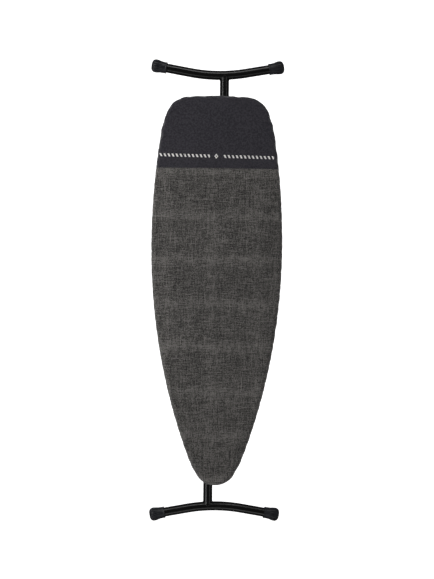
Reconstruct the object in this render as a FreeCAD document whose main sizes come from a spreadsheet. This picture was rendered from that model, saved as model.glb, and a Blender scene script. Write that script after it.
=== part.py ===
"""Folding ironing board, folded flat: fabric-covered mesh deck, scissor legs with T-feet and a notched height lock.

Row frame: +Z up through the ironing surface, +Y towards the square tail end, +X to the right, Z = 0 on the floor.
"""
import FreeCAD, Part

import math
import os

import Sketcher

Vector = FreeCAD.Vector

SIZES = [
    # plan of the deck
    ("board_length", 1350), ("board_width", 450), ("widest_share", 0.615),
    ("nose_flank_share", 60.6), ("nose_shoulder_share", 96), ("nose_tip_share", 0.16),
    ("tail_flank_share", 25.5), ("tail_shoulder_share", 61.5), ("tail_corner_share", 0.188),
    ("tail_crown_share", 3.2), ("tail_crown_half_share", 0.227),
    # deck
    ("rim_diameter", 14), ("rim_wall", 1.2), ("panel_thickness", 1.2), ("panel_inset", 1),
    ("slot_width", 12), ("slot_length", 34), ("slot_web", 10), ("slot_margin", 18),
    ("brace_width", 25), ("brace_thickness", 2.5), ("brace_gap", 0.2), ("nose_brace_setback", 5),
    ("middle_brace_y", 40), ("hinge_brace_setback", 129), ("tail_brace_setback", 15), ("outrigger_y", -210),
    # soft covering
    ("felt_thickness", 4), ("foam_thickness", 4), ("pad_overhang", 0.5), ("cover_gap", 2),
    ("cover_thickness", 1), ("cover_depth", 28.2), ("cover_lip", 22), ("hem_width", 5),
    ("hem_thickness", 2.2), ("heat_zone_length", 250.8),
    # channels under the deck
    ("rail_half_gap", 105), ("rail_sheet", 2), ("rail_flange", 18), ("channel_height", 25),
    ("rail_nose_share", 0.33), ("rail_overrun", 66.5), ("rail_tail_inset", 245),
    ("plug_thickness", 6), ("plug_gap", 0.2),
    # legs
    ("tube_diameter", 32), ("tube_wall", 1.5), ("leg_offset", 23.5), ("foot_gap", 82), ("leg_overrun", 12),
    ("head_rise", 28), ("weld_gap", 0.05),
    ("yoke_sheet", 3), ("yoke_length", 22), ("crossbar_diameter", 12), ("crossbar_length", 206),
    ("running_gap", 0.05), ("side_gap", 0.4), ("tube_plug_thickness", 3),
    # feet
    ("arch_radius", 560), ("arch_angle", 10), ("foot_end_length", 128.4), ("nose_foot_trim", 6),
    ("cap_bore_depth", 44.3),
    ("cap_length", 54), ("bulb_wall", 7), ("waist_wall", 3.25), ("collar_wall", 4.2),
    ("cap_collar_length", 5), ("collar_slope", 1), ("waist_end", 30), ("bulb_start", 24), ("bulb_rise", 8),
    ("bulb_shift", 0.5), ("bulb_round", 11), ("bulb_shoulder", 3), ("shoulder_swell", 1.5), ("bulb_tip_radius", 11),
    # scissor pivot
    ("pivot_diameter", 10), ("pivot_bush_radius", 7), ("pivot_head_radius", 9), ("pivot_head_height", 6),
    ("nut_crown", 2),
    # sliding shoes and bearings
    ("shoe_length", 44), ("bush_length", 36), ("shoe_gap", 0.3), ("block_depth", 16),
    ("rivet_diameter", 5), ("rivet_head_radius", 4.5), ("rivet_head_height", 1.6), ("rivet_pitch", 22),
    ("retainer_radius", 9.5), ("retainer_width", 3),
    # height lock
    ("rack_x", 60), ("rack_thickness", 4), ("rack_depth", 7), ("notch_width", 10.4), ("notch_depth", 5.5),
    ("pawl_reach", 40), ("pawl_width", 7), ("pawl_tooth", 6), ("tooth_bite", 4.5), ("pawl_hub_radius", 9.2),
    ("pawl_angle", 9), ("pawl_arm_half", 3), ("pad_width", 3.5), ("pad_rise", 2.6), ("pad_start", 18), ("pad_end", 24),
    ("lowest_share", 0.511), ("top_share", 0.726), ("height_steps", 7),
    # release gear
    ("rod_x", 80), ("rod_diameter", 6), ("rod_drop", 6), ("rod_setback", 15), ("rod_tail_inset", 167),
    ("blade_width", 12.4), ("blade_thickness", 2), ("blade_setback", 32), ("blade_tail_end", -45),
    ("lever_inset", 180), ("lever_width", 18), ("lever_thickness", 4), ("lever_length", 84), ("lever_drop", 5),
    ("lever_hub_radius", 5.5), ("grip_length", 62), ("grip_width", 26), ("grip_height", 10),
    ("clip_width", 10), ("clip_floor", 1.5), ("nose_clip_setback", 9), ("middle_clip_y", 10), ("tail_clip_setback", 68),
    ("spring_wire", 1.6), ("spring_gap", 0.9), ("spring_turns", 7),
    ("spring_pitch", 2.4), ("spring_inset", 223),
]

DERIVED = [
    ("nose_to_widest", "board_length * widest_share"),
    ("slenderness", "board_width / board_length"),
    ("nose_flank_angle", "nose_flank_share * slenderness"),
    ("nose_shoulder_angle", "nose_shoulder_share * slenderness"),
    ("nose_tip_radius", "board_width * nose_tip_share"),
    ("tail_flank_angle", "tail_flank_share * slenderness"),
    ("tail_shoulder_angle", "tail_shoulder_share * slenderness"),
    ("tail_corner_radius", "board_width * tail_corner_share"),
    ("tail_crown_radius", "board_width * tail_crown_share"),
    ("tail_crown_half", "board_width * tail_crown_half_share"),
    ("hinge_reach", "board_length * rail_nose_share - rail_overrun"),
    ("foot_reach", "board_length / 2 + foot_gap"),
    ("rail_nose_end", "-board_length * rail_nose_share"),
    ("rail_tail_end", "board_length / 2 - rail_tail_inset"),
    ("rod_nose_end", "rail_nose_end + rod_setback"),
    ("rod_tail_end", "board_length / 2 - rod_tail_inset"),
    ("blade_nose_end", "rail_nose_end + blade_setback"),
    ("lever_y", "board_length / 2 - lever_inset"),
    ("spring_y", "board_length / 2 - spring_inset"),
    ("lowest_height", "board_length * lowest_share"),
    ("top_height", "board_length * top_share"),
    ("cap_radius", "tube_diameter / 2 + bulb_wall"),
    ("cap_waist_radius", "tube_diameter / 2 + waist_wall"),
    ("cap_collar_radius", "tube_diameter / 2 + collar_wall"),
    ("deck_rise", "channel_height / 2 + rail_sheet + brace_thickness"),
    ("pawl_height", "deck_rise - rack_depth + tooth_bite"),
    ("pad_height", "deck_rise - rod_drop - blade_thickness / 2 + pad_rise"),
]

HEAD_Z = "(size.cap_radius + size.head_rise)"
RAIL_TOP = f"({HEAD_Z} + size.channel_height / 2 + size.rail_sheet)"
DECK_Z = f"({RAIL_TOP} + size.brace_thickness)"
FELT_Z = f"({DECK_Z} + size.panel_thickness)"
FOAM_Z = f"({FELT_Z} + size.felt_thickness)"
COVER_Z = f"({FOAM_Z} + size.foam_thickness)"
TOP_Z = f"({COVER_Z} + size.cover_thickness)"
ROD_Z = f"({DECK_Z} - size.rod_drop)"
TUBE_R = "(size.tube_diameter / 2)"
BAR_R = "(size.crossbar_diameter / 2)"

BRACES = {
    "nose": "size.rail_nose_end + size.nose_brace_setback",
    "middle": "size.middle_brace_y",
    "hinge": "size.hinge_reach - size.hinge_brace_setback",
    "tail": "size.rail_tail_end - size.tail_brace_setback",
}
OUTRIGGER_Y = "size.outrigger_y"
CLIP_PLACES = (
    "size.rod_nose_end + size.nose_clip_setback",
    "size.middle_clip_y",
    "size.rod_tail_end - size.tail_clip_setback",
)

doc = FreeCAD.newDocument("ironing_board")
sheet = doc.addObject("Spreadsheet::Sheet", "size")
for row, (alias, value) in enumerate(SIZES, start=1):
    sheet.set(f"A{row}", alias)
    sheet.set(f"B{row}", str(value))
    sheet.setAlias(f"B{row}", alias)
doc.recompute()
for row, (alias, formula) in enumerate(DERIVED, start=len(SIZES) + 1):
    sheet.set(f"A{row}", alias)
    sheet.set(f"B{row}", f"={formula}")
    sheet.setAlias(f"B{row}", alias)
    doc.recompute()

NODES = {}


# ---------------------------------------------------------------- helpers

def number(expression):
    """The present value of an expression on the sheet."""
    result = sheet.evalExpression(str(expression).replace("size.", ""))
    return float(getattr(result, "Value", result))


def bind(thing, path, expression):
    """Ties one property of an object to the sheet."""
    thing.setExpression(path, str(expression))


def put(thing, at, axis=None, angle=None):
    """Binds an object's position, and turns it about one axis."""
    if axis is not None:
        thing.Placement = FreeCAD.Placement(Vector(), FreeCAD.Rotation(Vector(*axis), number(angle)))
        bind(thing, "Placement.Rotation.Angle", angle)
    for letter, expression in zip("xyz", at):
        bind(thing, f"Placement.Base.{letter}", expression)


def keep(name, thing):
    """Makes an object a sub-part under its own label."""
    thing.Label = name
    NODES[name] = thing
    return thing


def box(name, sides, centre):
    """A box centred on a point."""
    block = doc.addObject("Part::Box", name)
    for side, expression in zip(("Length", "Width", "Height"), sides):
        bind(block, side, expression)
    put(block, [f"({place}) - ({side}) / 2" for place, side in zip(centre, sides)])
    return block


def rod_along(name, direction, radius, length, centre):
    """A cylinder along X or Y, centred on a point."""
    cylinder = doc.addObject("Part::Cylinder", name)
    bind(cylinder, "Radius", radius)
    bind(cylinder, "Height", length)
    turn, letter = {"x": ((0, 1, 0), 0), "y": ((-1, 0, 0), 1)}[direction]
    start = list(centre)
    start[letter] = f"({start[letter]}) - ({length}) / 2"
    put(cylinder, start, turn, "90")
    return cylinder


def cut(name, base, *tools):
    """The base with each tool taken away."""
    for index, tool in enumerate(tools):
        result = doc.addObject("Part::Cut", f"{name}_cut{index}")
        result.Base = base
        result.Tool = tool
        base = result
    return base


def join(name, *shapes):
    """Several solids made one."""
    fused = doc.addObject("Part::MultiFuse", name)
    fused.Shapes = list(shapes)
    return fused


def body_at(name, at, axis=None, angle=None):
    """A body placed by the sheet."""
    body = doc.addObject("PartDesign::Body", name)
    put(body, at, axis, angle)
    return keep(name, body)


def sketch_on(body, role, name):
    """A sketch on one of the body's own origin planes."""
    sketch = body.newObject("Sketcher::SketchObject", name)
    plane = next(f for f in body.Origin.OriginFeatures if f.Role == role)
    sketch.AttachmentSupport = (plane, [""])
    sketch.MapMode = "FlatFace"
    return sketch


def fix_point(sketch, geometry, end, x, y):
    """Holds a point of the sketch at two distances from its origin."""
    for kind, expression in (("DistanceX", x), ("DistanceY", y)):
        index = sketch.addConstraint(Sketcher.Constraint(kind, -1, 1, geometry, end, number(expression)))
        sketch.setExpression(f"Constraints[{index}]", str(expression))


def add_circle(sketch, radius, x="0", y="0"):
    """A circle whose radius and centre follow the sheet."""
    centre = Vector(number(x), number(y), 0)
    geometry = sketch.addGeometry(Part.Circle(centre, Vector(0, 0, 1), number(radius)))
    index = sketch.addConstraint(Sketcher.Constraint("Radius", geometry, number(radius)))
    sketch.setExpression(f"Constraints[{index}]", str(radius))
    fix_point(sketch, geometry, 3, x, y)


def add_polygon(sketch, corners):
    """A closed run of straight lines whose corners follow the sheet."""
    points = [Vector(number(x), number(y), 0) for x, y in corners]
    lines = [
        sketch.addGeometry(Part.LineSegment(point, points[(index + 1) % len(points)]))
        for index, point in enumerate(points)
    ]
    for index, line in enumerate(lines):
        sketch.addConstraint(Sketcher.Constraint("Coincident", line, 2, lines[(index + 1) % len(lines)], 1))
        fix_point(sketch, line, 1, *corners[index])


def rectangle(x0, y0, x1, y1):
    """The corners of a rectangle in a sketch."""
    return [(x0, y0), (x1, y0), (x1, y1), (x0, y1)]


def pad(body, sketch, length):
    """Thickens a sketch equally both ways."""
    feature = body.newObject("PartDesign::Pad", body.Name + "_pad")
    feature.Profile = sketch
    feature.Midplane = True
    bind(feature, "Length", length)
    return feature


def pocket(body, sketch, length):
    """Cuts a sketch equally both ways."""
    feature = body.newObject("PartDesign::Pocket", body.Name + "_pocket")
    feature.Profile = sketch
    feature.Midplane = True
    bind(feature, "Length", length)
    return feature


def turned(body, sketch, kind="PartDesign::Revolution"):
    """Turns a sketch about its own horizontal axis."""
    feature = body.newObject(kind, body.Name + "_turned")
    feature.Profile = sketch
    feature.ReferenceAxis = (sketch, ["H_Axis"])
    feature.Angle = 360
    return feature


# ---------------------------------------------------------------- plan outline

def outward(angle):
    """Unit vector in plan at an angle from +X."""
    return Vector(math.cos(math.radians(angle)), math.sin(math.radians(angle)), 0)


def flank_radii(first, second, across, along):
    """Radii of two tangent arcs that together reach a width and a length."""
    one, two = math.radians(first), math.radians(second)
    rows = (
        (1 - math.cos(one), math.cos(one) - math.cos(two), across),
        (math.sin(one), math.sin(two) - math.sin(one), along),
    )
    (a, b, p), (c, d, q) = rows
    scale = a * d - b * c
    return (p * d - b * q) / scale, (a * q - p * c) / scale


def plan_arcs():
    """Tangent arcs of the deck's edge, anticlockwise from the nose: (centre, radius, first and last angle)."""
    half = number("size.board_width") / 2
    nose_r, corner_r = number("size.nose_tip_radius"), number("size.tail_corner_radius")
    crown_r = number("size.tail_crown_radius")
    a1, a2 = number("size.nose_flank_angle"), number("size.nose_shoulder_angle")
    b1, b2 = number("size.tail_flank_angle"), number("size.tail_shoulder_angle")
    b3 = math.degrees(math.acos(number("size.tail_crown_half") / crown_r))
    to_nose = number("size.nose_to_widest")
    to_tail = number("size.board_length") - to_nose
    nose, shoulder, crown = outward(a2), outward(b2), outward(b3)
    r1, r2 = flank_radii(a1, a2, half - nose_r * nose.x, to_nose - nose_r * (1 - nose.y))
    r3, r4 = flank_radii(
        b1, b2,
        half - corner_r * (shoulder.x - crown.x) - crown_r * crown.x,
        to_tail - corner_r * (crown.y - shoulder.y) - crown_r * (1 - crown.y),
    )
    radii = [nose_r, r2, r1, r3, r4, corner_r, crown_r]
    angles = [-90, -a2, -a1, 0, b1, b2, b3, 90]
    centre = Vector(0, nose_r - number("size.board_length") / 2, 0)
    right = []
    for index, radius in enumerate(radii):
        if index:
            centre = centre + outward(angles[index]) * (radii[index - 1] - radius)
        right.append((centre, radius, angles[index], angles[index + 1]))
    left = [(Vector(-c.x, c.y, 0), r, 180 - last, 180 - first) for c, r, first, last in reversed(right)]
    return right + left


def plan_wire(grow, z):
    """The deck's edge moved outwards, at one height."""
    edges = []
    for centre, radius, first, last in plan_arcs():
        points = [
            centre + outward(angle) * (radius + grow) + Vector(0, 0, z)
            for angle in (first, (first + last) / 2, last)
        ]
        edges.append(Part.Arc(*points).toShape())
    return Part.Wire(edges)


def plan_slab(grow, low, high):
    """A slab of the deck's plan between two heights."""
    return Part.Face(plan_wire(grow, low)).extrude(Vector(0, 0, high - low))


def feature(name, shape, at=Vector(), rotation=FreeCAD.Rotation()):
    """A sub-part whose outline follows the deck's plan or a formula."""
    thing = doc.addObject("Part::Feature", name)
    thing.Shape = shape
    thing.Placement = FreeCAD.Placement(at, rotation)
    return keep(name, thing)


# ---------------------------------------------------------------- deck

def rim_tube():
    """Closed round tube under the panel's edge."""
    radius = number("size.rim_diameter") / 2
    z = number(DECK_Z) - radius
    path = plan_wire(-radius, z)
    start = path.Edges[0].Vertexes[0].Point
    solids = []
    for section_radius in (radius, radius - number("size.rim_wall")):
        ring = Part.Wire(Part.Circle(start, Vector(1, 0, 0), section_radius).toShape())
        solids.append(path.makePipeShell([ring], True, True))
    feature("rim_tube", solids[0].cut(solids[1]))


def mesh_panel():
    """Steel sheet with staggered rows of slots."""
    low = number(DECK_Z)
    thickness = number("size.panel_thickness")
    inset = -number("size.panel_inset")
    width, length = number("size.slot_width"), number("size.slot_length")
    web, margin = number("size.slot_web"), number("size.slot_margin")
    limit = Part.Face(plan_wire(-margin, 0))
    half_length = number("size.board_length") / 2
    half_width = number("size.board_width") / 2
    slots = []
    rows = int(2 * half_length / (width + web))
    columns = int(half_width / (length + web)) + 1
    for row in range(rows):
        y = -half_length + (row + 0.5) * (width + web)
        stagger = (row % 2) * (length + web) / 2
        for column in range(-columns, columns + 1):
            x = column * (length + web) + stagger
            corners = [(x - length / 2, y), (x, y - width / 2), (x + length / 2, y), (x, y + width / 2)]
            if all(limit.isInside(Vector(px, py, 0), 0.01, True) for px, py in corners):
                points = [Vector(px, py, low) for px, py in corners]
                slots.append(Part.makePolygon(points + points[:1]))
    face = Part.makeFace([plan_wire(inset, low)] + slots, "Part::FaceMakerBullseye")
    feature("mesh_panel", face.extrude(Vector(0, 0, thickness)))


def brace(name, x0, x1, y):
    """Flat steel bar across the rails, trimmed to the inside of the rim tube."""
    high = number(DECK_Z)
    thickness, width = number("size.brace_thickness"), number("size.brace_width")
    tube = number("size.rim_diameter") / 2
    chord = math.sqrt(tube ** 2 - (tube - thickness) ** 2)
    bar = Part.makeBox(x1 - x0, width, thickness, Vector(x0, y - width / 2, high - thickness))
    inside = plan_slab(-tube - chord - number("size.brace_gap"), high - thickness, high)
    feature(name, bar.common(inside))


def braces():
    """Four full braces and one short pair beside the sliding carriage."""
    half = number("size.board_width") / 2
    for place, y in BRACES.items():
        brace(f"cross_brace_{place}", -half, half, number(y))
    near = number("size.rail_half_gap - size.rail_flange")
    brace("outrigger_right", near, half, number(OUTRIGGER_Y))
    brace("outrigger_left", -half, -near, number(OUTRIGGER_Y))


def pads():
    """Felt on the steel and foam on the felt."""
    over = number("size.pad_overhang")
    feature("felt_pad", plan_slab(over, number(FELT_Z), number(FOAM_Z)))
    feature("foam_pad", plan_slab(over, number(FOAM_Z), number(COVER_Z)))


def cover():
    """Fitted cover: top, side and turned-under lip, in two cloths that meet at a cross seam."""
    top = number(TOP_Z)
    wall, gap = number("size.cover_thickness"), number("size.cover_gap")
    lip, hem = number("size.cover_lip"), number("size.hem_width")
    bottom = top - number("size.cover_depth")
    shell = plan_slab(gap + wall, bottom, top)
    shell = shell.cut(plan_slab(gap, bottom + wall, top - wall))
    shell = shell.cut(plan_slab(-lip, bottom - wall, bottom + 2 * wall))
    half = number("size.board_length")
    seam = half / 2 - number("size.heat_zone_length")
    nose_side = Part.makeBox(2 * half, 2 * half, top, Vector(-half, seam - 2 * half, 0))
    tail_side = Part.makeBox(2 * half, 2 * half, top, Vector(-half, seam, 0))
    feature("cover_denim", shell.common(nose_side))
    feature("cover_heat_zone", shell.common(tail_side))
    rise = (number("size.hem_thickness") - wall) / 2
    ring = plan_slab(-lip, bottom - rise, bottom + wall + rise)
    feature("cover_hem", ring.cut(plan_slab(-lip - hem, bottom - wall, bottom + 3 * wall)))


# ---------------------------------------------------------------- channels

def rail(name, side):
    """Steel C-channel that opens towards the middle, drilled for its bearing's rivets."""
    body = body_at(name, ("0", "(size.rail_nose_end + size.rail_tail_end) / 2", HEAD_Z))
    web, out = f"({side} * size.rail_half_gap)", f"({side} * (size.rail_half_gap + size.rail_sheet))"
    lip = f"({side} * (size.rail_half_gap - size.rail_flange))"
    inner, outer = "(size.channel_height / 2)", "(size.channel_height / 2 + size.rail_sheet)"
    section = sketch_on(body, "XZ_Plane", name + "_section")
    add_polygon(section, [
        (lip, f"-{outer}"), (out, f"-{outer}"), (out, outer), (lip, outer),
        (lip, inner), (web, inner), (web, f"-{inner}"), (lip, f"-{inner}"),
    ])
    pad(body, section, "size.rail_tail_end - size.rail_nose_end")
    doc.recompute()
    holes = sketch_on(body, "YZ_Plane", name + "_holes")
    middle = "(size.hinge_reach - (size.rail_nose_end + size.rail_tail_end) / 2)"
    for end in (-1, 1):
        add_circle(holes, "size.rivet_diameter / 2", f"{middle} + {end} * size.rivet_pitch / 2", "0")
    pocket(body, holes, "4 * size.rail_half_gap")


def block(name, side, y, gap, length, bore):
    """Plastic block in a channel, bored for a crossbar."""
    body = body_at(name, (f"{side} * (size.rail_half_gap - {gap} - size.block_depth / 2)", y, HEAD_Z))
    section = sketch_on(body, "YZ_Plane", name + "_section")
    high, long = f"(size.channel_height / 2 - {gap})", f"({length} / 2)"
    corner = "size.rail_sheet"
    add_polygon(section, [
        (f"-{long}", f"-{high} + {corner}"), (f"-{long} + {corner}", f"-{high}"),
        (f"{long} - {corner}", f"-{high}"), (long, f"-{high} + {corner}"),
        (long, f"{high} - {corner}"), (f"{long} - {corner}", high),
        (f"-{long} + {corner}", high), (f"-{long}", f"{high} - {corner}"),
    ])
    add_circle(section, bore)
    pad(body, section, "size.block_depth")
    return body


def hinge_bushes():
    """Fixed bearings of the nose leg's crossbar, each drilled for two rivets."""
    for word, side in (("left", -1), ("right", 1)):
        body = block(f"hinge_bush_{word}", side, "size.hinge_reach", "0", "size.bush_length",
                     f"{BAR_R} + size.running_gap")
        doc.recompute()
        holes = sketch_on(body, "YZ_Plane", body.Name + "_holes")
        for end in (-1, 1):
            add_circle(holes, "size.rivet_diameter / 2", f"{end} * size.rivet_pitch / 2", "0")
        pocket(body, holes, "4 * size.block_depth")


def bush_rivets():
    """Two rivets through each channel's web into its bearing."""
    rivets = []
    reach = "(size.rail_sheet + size.block_depth)"
    for side in (-1, 1):
        for end in (-1, 1):
            y = f"size.hinge_reach + {end} * size.rivet_pitch / 2"
            name = f"rivet_{len(rivets)}"
            shank = rod_along(name + "_shank", "x", "size.rivet_diameter / 2", reach,
                              (f"{side} * (size.rail_half_gap + size.rail_sheet - {reach} / 2)", y, HEAD_Z))
            head = rod_along(name + "_head", "x", "size.rivet_head_radius", "size.rivet_head_height",
                             (f"{side} * (size.rail_half_gap + size.rail_sheet + size.rivet_head_height / 2)",
                              y, HEAD_Z))
            rivets.append(join(name, shank, head))
    group = doc.addObject("Part::Compound", "rivet_group")
    group.Links = rivets
    keep("bush_rivets", group)


def rail_end_plugs():
    """Plastic plug in each end of the channels."""
    plugs = []
    for side in (-1, 1):
        for place, inward in (("size.rail_nose_end", 1), ("size.rail_tail_end", -1)):
            plugs.append(box(
                f"rail_plug_{len(plugs)}",
                ("size.rail_flange - size.plug_gap", "size.plug_thickness",
                 "size.channel_height - 2 * size.plug_gap"),
                (f"{side} * (size.rail_half_gap - size.plug_gap - size.rail_flange / 2)",
                 f"{place} + {inward} * size.plug_thickness / 2", HEAD_Z)))
    group = doc.addObject("Part::Compound", "plug_group")
    group.Links = plugs
    keep("rail_end_plugs", group)


# ---------------------------------------------------------------- legs

def leg_tube(name, side, foot):
    """Round leg tube, drilled for the scissor pivot and coped to its foot bar."""
    x = f"{side} * size.leg_offset"
    length = "(size.hinge_reach + size.leg_overrun + size.foot_reach)"
    y = f"{foot} * (size.foot_reach - {length} / 2)"
    centre = (x, y, "size.cap_radius")
    outer = rod_along(name + "_outer", "y", TUBE_R, length, centre)
    inner = rod_along(name + "_inner", "y", f"{TUBE_R} - size.tube_wall", f"{length} + 2 * size.tube_wall", centre)
    hole = "size.pivot_diameter / 2 + size.running_gap" if side < 0 else "size.pivot_bush_radius"
    drill = rod_along(name + "_drill", "x", hole, "2 * size.tube_diameter", (x, "0", "size.cap_radius"))
    cope = doc.addObject("Part::Torus", name + "_cope")
    bind(cope, "Radius1", "size.arch_radius")
    bind(cope, "Radius2", f"{TUBE_R} + size.weld_gap")
    put(cope, ("0", f"{foot} * (size.foot_reach + size.arch_radius)", "size.cap_radius"))
    keep(name, cut(name, outer, inner, drill, cope))


def end_length(foot):
    """Straight end of a foot tube; the nose foot is a little narrower."""
    return "size.foot_end_length" if foot > 0 else "(size.foot_end_length - size.nose_foot_trim)"


def foot_bar(name, foot):
    """Arched foot tube: a round middle and straight ends that point to the floor."""
    body = body_at(name, ("0", f"{foot} * size.foot_reach", "size.cap_radius"), (1, 0, 0), "0" if foot > 0 else "180")
    path = sketch_on(body, "XY_Plane", name + "_path")
    radius, angle = number("size.arch_radius"), math.radians(number("size.arch_angle"))
    bend = Part.ArcOfCircle(Part.Circle(Vector(0, radius, 0), Vector(0, 0, 1), radius),
                            -math.pi / 2, -math.pi / 2 + angle)
    arc = path.addGeometry(bend)
    start = bend.EndPoint
    reach = number(end_length(foot))
    end = start + Vector(math.cos(angle), math.sin(angle), 0) * reach
    line = path.addGeometry(Part.LineSegment(start, end))
    path.addConstraint(Sketcher.Constraint("Coincident", arc, 1, -1, 1))
    path.addConstraint(Sketcher.Constraint("PointOnObject", arc, 3, -2))
    path.addConstraint(Sketcher.Constraint("Tangent", arc, 2, line, 1))
    for constraint, expression in (
        (Sketcher.Constraint("Radius", arc, radius), "size.arch_radius"),
        (Sketcher.Constraint("Angle", line, angle), "size.arch_angle * 1 deg"),
        (Sketcher.Constraint("Distance", line, reach), end_length(foot)),
    ):
        index = path.addConstraint(constraint)
        path.setExpression(f"Constraints[{index}]", expression)
    ring = sketch_on(body, "YZ_Plane", name + "_ring")
    add_circle(ring, TUBE_R)
    add_circle(ring, f"{TUBE_R} - size.tube_wall")
    doc.recompute()
    pipe = body.newObject("PartDesign::AdditivePipe", name + "_pipe")
    pipe.Profile = ring
    pipe.Spine = (path, ["Edge1", "Edge2"])
    doc.recompute()
    mirrored = body.newObject("PartDesign::Mirrored", name + "_mirrored")
    mirrored.Originals = [pipe]
    plane = next(f for f in body.Origin.OriginFeatures if f.Role == "YZ_Plane")
    mirrored.MirrorPlane = (plane, [""])
    body.Tip = mirrored


def foot_cap(name, foot, side):
    """Rubber cap: collar, waist and a bulb set towards the floor, bored for the foot tube."""
    angle = f"{foot} * size.arch_angle" if side > 0 else f"180 - {foot} * size.arch_angle"
    along = f"({end_length(foot)} - size.cap_bore_depth)"
    slope = "size.arch_angle * 1 deg"
    x = f"{side} * (size.arch_radius * sin({slope}) + {along} * cos({slope}))"
    y = f"{foot} * (size.foot_reach + size.arch_radius * (1 - cos({slope})) + {along} * sin({slope}))"
    body = body_at(name, (x, y, "size.cap_radius"), (0, 0, 1), angle)
    sleeve = sketch_on(body, "XY_Plane", name + "_sleeve")
    add_polygon(sleeve, [
        ("0", "0"), ("0", "size.cap_collar_radius"), ("size.cap_collar_length", "size.cap_collar_radius"),
        ("size.cap_collar_length + size.collar_slope", "size.cap_waist_radius"),
        ("size.waist_end", "size.cap_waist_radius"),
        ("size.waist_end", "0"),
    ])
    turned(body, sleeve)
    bulb = sketch_on(body, "XY_Plane", name + "_bulb")
    bulb.AttachmentOffset = FreeCAD.Placement(Vector(0, 1, 0), FreeCAD.Rotation())
    bind(bulb, "AttachmentOffset.Base.y", f"{foot * side} * size.bulb_shift")
    add_polygon(bulb, [
        ("size.bulb_start", "0"), ("size.bulb_start", "size.cap_waist_radius - size.bulb_shift"),
        ("size.bulb_start + size.bulb_rise", "size.cap_radius"),
        ("size.cap_length - size.bulb_round", "size.cap_radius"),
        ("size.cap_length - size.bulb_shoulder", "(size.cap_radius + size.bulb_tip_radius) / 2 + size.shoulder_swell"),
        ("size.cap_length", "size.bulb_tip_radius"), ("size.cap_length", "0"),
    ])
    turned(body, bulb)
    bore = sketch_on(body, "XY_Plane", name + "_bore")
    add_polygon(bore, [
        ("-1", "0"), ("-1", f"{TUBE_R} + size.weld_gap"), ("size.cap_bore_depth", f"{TUBE_R} + size.weld_gap"),
        ("size.cap_bore_depth", "0"),
    ])
    doc.recompute()
    turned(body, bore, "PartDesign::Groove")


def yoke(name, side, foot, bore):
    """Steel strap round the leg's head, with two ears on the crossbar."""
    head = f"{-foot} * size.hinge_reach"
    x = f"{side} * size.leg_offset"
    inside = f"({TUBE_R} + size.weld_gap)"
    outside = f"({inside} + size.yoke_sheet)"
    low, high = "size.cap_radius", HEAD_Z
    strap = rod_along(name + "_strap", "y", outside, "size.yoke_length", (x, head, low))
    ears = box(name + "_ears", (f"2 * {outside}", "size.yoke_length", f"{high} - {low}"),
               (x, head, f"({high} + {low}) / 2"))
    crown = rod_along(name + "_crown", "x", "size.yoke_length / 2", f"2 * {outside}", (x, head, high))
    slot = box(name + "_slot", (f"2 * {inside}", "2 * size.yoke_length", "2 * size.head_rise"),
               (x, head, f"{low} + size.head_rise"))
    tube = rod_along(name + "_tube", "y", inside, "2 * size.yoke_length", (x, head, low))
    hole = rod_along(name + "_hole", "x", bore, f"4 * {outside}", (x, head, high))
    keep(name, cut(name, join(name + "_blank", strap, ears, crown), slot, tube, hole))


def tube_plug(name, side, foot):
    """Plastic disc in the open head of a leg tube."""
    y = f"{-foot} * (size.hinge_reach + size.leg_overrun - size.tube_plug_thickness / 2)"
    radius = f"{TUBE_R} - size.tube_wall - size.weld_gap"
    keep(name, rod_along(name, "y", radius, "size.tube_plug_thickness",
                         (f"{side} * size.leg_offset", y, "size.cap_radius")))


def crossbar(name, y):
    """Solid round bar across the channels."""
    keep(name, rod_along(name, "x", BAR_R, "size.crossbar_length", ("0", y, HEAD_Z)))


def scissor_pivot():
    """Bolt, spacer, cap nut and the plastic bush it turns in."""
    low = "size.cap_radius"
    outer = f"(size.leg_offset + {TUBE_R})"
    inner = f"(size.leg_offset - {TUBE_R})"
    bolt_r = "(size.pivot_diameter / 2)"
    reach = f"(2 * {outer} + size.side_gap * 2 + size.pivot_head_height)"
    shank = rod_along("bolt_shank", "x", bolt_r, reach, ("size.pivot_head_height / 2", "0", low))
    head = rod_along("bolt_head", "x", "size.pivot_head_radius", "size.pivot_head_height",
                     (f"-{outer} - size.pivot_head_height / 2 - size.weld_gap", "0", low))
    keep("pivot_bolt", join("bolt", shank, head))
    nut = rod_along("nut_body", "x", "size.pivot_head_radius", "size.pivot_head_height + size.nut_crown",
                    (f"{outer} + size.side_gap + (size.pivot_head_height + size.nut_crown) / 2", "0", low))
    thread = rod_along("nut_thread", "x", f"{bolt_r} + size.weld_gap", "2 * (size.pivot_head_height + size.nut_crown)",
                       (f"{outer}", "0", low))
    keep("pivot_nut", cut("nut", nut, thread))
    long = f"(2 * {inner} - 2 * size.side_gap)"
    ring = rod_along("spacer_ring", "x", "size.pivot_head_radius", long, ("-size.side_gap / 2", "0", low))
    ring_bore = rod_along("spacer_bore", "x", f"{bolt_r} + size.weld_gap", f"2 * {long}", ("0", "0", low))
    leg = rod_along("spacer_leg", "y", f"{TUBE_R} + size.weld_gap", "4 * size.pivot_head_radius",
                    ("-size.leg_offset", "0", low))
    keep("pivot_spacer", cut("spacer", ring, ring_bore, leg))
    sleeve = rod_along("bush_sleeve", "x", "size.pivot_bush_radius - size.weld_gap", "size.tube_diameter",
                       ("size.leg_offset", "0", low))
    sleeve_bore = rod_along("bush_bore", "x", f"{bolt_r} + size.running_gap", "2 * size.tube_diameter",
                            ("size.leg_offset", "0", low))
    keep("pivot_bush", cut("bush", sleeve, sleeve_bore))


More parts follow.
